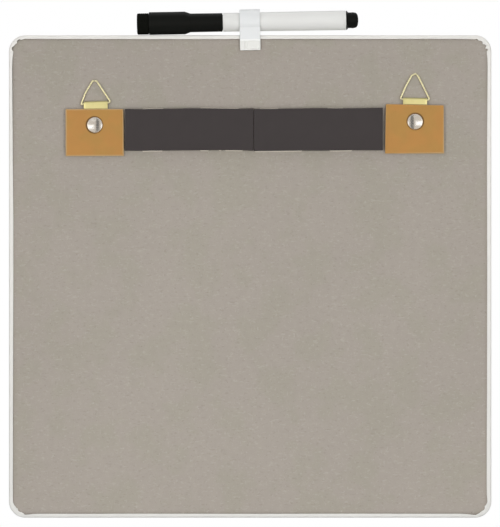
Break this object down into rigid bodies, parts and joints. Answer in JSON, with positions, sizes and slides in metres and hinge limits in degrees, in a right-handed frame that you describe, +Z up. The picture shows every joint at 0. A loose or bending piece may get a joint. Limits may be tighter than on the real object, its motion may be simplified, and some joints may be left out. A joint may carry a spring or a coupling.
{
  "type": "magnetic whiteboard",
  "caption": "Frameless steel-faced dry-erase board, seen from its back, with magnet strips, ring hangers on riveted plates and a capped marker in an edge clip.",
  "frame": {"origin": "on the outer face of the magnet strips, at mid height of the strips and on the board's vertical centre line", "axes": "+X right and +Z up as seen from the back, -Y out of the back towards the wall, +Y out of the writing face"},
  "size_m": [0.2794, 0.0153, 0.2947],
  "materials": {
    "painted_steel": "white gloss paint on thin sheet steel",
    "core_fibreboard": "plain pressed fibre",
    "chipboard": "grey recycled board, matt, speckled",
    "flexible_magnet": "matt dark grey ferrite rubber",
    "adhesive_tape": "pale foam adhesive",
    "hardboard": "tan pressed fibreboard, smooth",
    "strap_brass": "pale brass strip, satin",
    "ring_brass": "pale brass wire, bright",
    "rivet_nickel": "nickel plate, bright",
    "clip_plastic": "cool white plastic, satin gloss",
    "barrel_plastic": "pale grey-white plastic, satin",
    "black_plastic": "black plastic, satin",
    "nib_fibre": "bonded fibre",
    "black_felt": "black felt"
  },
  "bodies": {
    "board": {"face_sheet": "painted_steel", "core_panel": "core_fibreboard", "backing_board": "chipboard", "magnet_strip_left": "flexible_magnet", "magnet_strip_right": "flexible_magnet", "magnet_tape_left": "adhesive_tape", "magnet_tape_right": "adhesive_tape", "hanger_pad_left": "adhesive_tape", "hanger_pad_right": "adhesive_tape", "hanger_plate_left": "hardboard", "hanger_plate_right": "hardboard", "hanger_strap_left": "strap_brass", "hanger_strap_right": "strap_brass", "rivet_post_left": "rivet_nickel", "rivet_post_right": "rivet_nickel", "rivet_cap_left": "rivet_nickel", "rivet_cap_right": "rivet_nickel"},
    "ring_left": {"hanger_ring_left": "ring_brass"},
    "ring_right": {"hanger_ring_right": "ring_brass"},
    "clip": {"marker_clip": "clip_plastic"},
    "marker": {"marker_barrel": "barrel_plastic", "barrel_end_plug": "black_plastic", "nib_section": "black_plastic", "marker_nib": "nib_fibre", "ink_reservoir": "nib_fibre"},
    "cap": {"marker_cap": "black_plastic", "eraser_felt": "black_felt"}
  },
  "joints": [
    {"name": "ring_left_swing", "type": "hinge", "parent": "board", "child": "ring_left", "pos_m": [-0.08964, 0.0026, 0.01511], "axis": [0.9982, 0, 0.0593], "range_deg": [0, 142]},
    {"name": "ring_right_swing", "type": "hinge", "parent": "board", "child": "ring_right", "pos_m": [0.09535, 0.0026, 0.01708], "axis": [0.9996, 0, -0.0279], "range_deg": [0, 142]},
    {"name": "clip_lift", "type": "slide", "parent": "board", "child": "clip", "axis": [0, 0, 1], "range_m": [0, 0.02]},
    {"name": "marker_slide", "type": "slide", "parent": "clip", "child": "marker", "axis": [0.9999, 0, 0.0166], "range_m": [0, 0.028]},
    {"name": "cap_pull", "type": "slide", "parent": "marker", "child": "cap", "axis": [-0.9999, 0, -0.0166], "range_m": [0, 0.024]}
  ]
}
